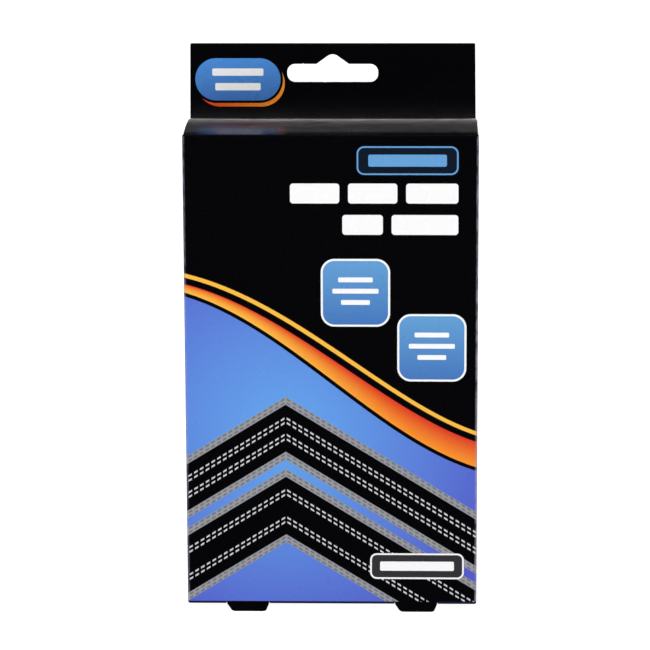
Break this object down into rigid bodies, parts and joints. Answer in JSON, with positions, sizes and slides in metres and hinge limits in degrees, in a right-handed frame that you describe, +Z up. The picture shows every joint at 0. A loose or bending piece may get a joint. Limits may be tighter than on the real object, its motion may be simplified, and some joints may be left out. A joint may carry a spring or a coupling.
{
  "type": "hang-tab carton",
  "caption": "Folding paperboard carton with a hinged tuck lid, inner dust flaps, a closed base on low foot tabs, and a header with a slot to hang it by.",
  "frame": {"origin": "middle of the footprint, level with the tips of the foot tabs", "axes": "+Z up, the front panel faces -Y, +X to the right of the front"},
  "size_m": [0.102, 0.036, 0.1974],
  "materials": {
    "printed_board": "paperboard printed mostly black, with an overall gloss varnish",
    "plain_board": "uncoated grey-white paperboard, matte"
  },
  "bodies": {
    "carton": {"carton_sleeve": "printed_board", "base_panel": "printed_board", "seam_flap": "plain_board", "base_dust_flap_left": "plain_board", "base_dust_flap_right": "plain_board"},
    "lid": {"lid": "printed_board"},
    "dust_flap_left": {"dust_flap_left": "plain_board"},
    "dust_flap_right": {"dust_flap_right": "plain_board"}
  },
  "joints": [
    {"name": "lid_hinge", "type": "hinge", "parent": "carton", "child": "lid", "pos_m": [0, -0.01685, 0.17095], "axis": [1, 0, 0], "range_deg": [0, 180]},
    {"name": "dust_flap_left_hinge", "type": "hinge", "parent": "carton", "child": "dust_flap_left", "pos_m": [-0.05, 0, 0.169], "axis": [0, 1, 0], "range_deg": [0, 85]},
    {"name": "dust_flap_right_hinge", "type": "hinge", "parent": "carton", "child": "dust_flap_right", "pos_m": [0.05, 0, 0.169], "axis": [0, -1, 0], "range_deg": [0, 85]}
  ]
}
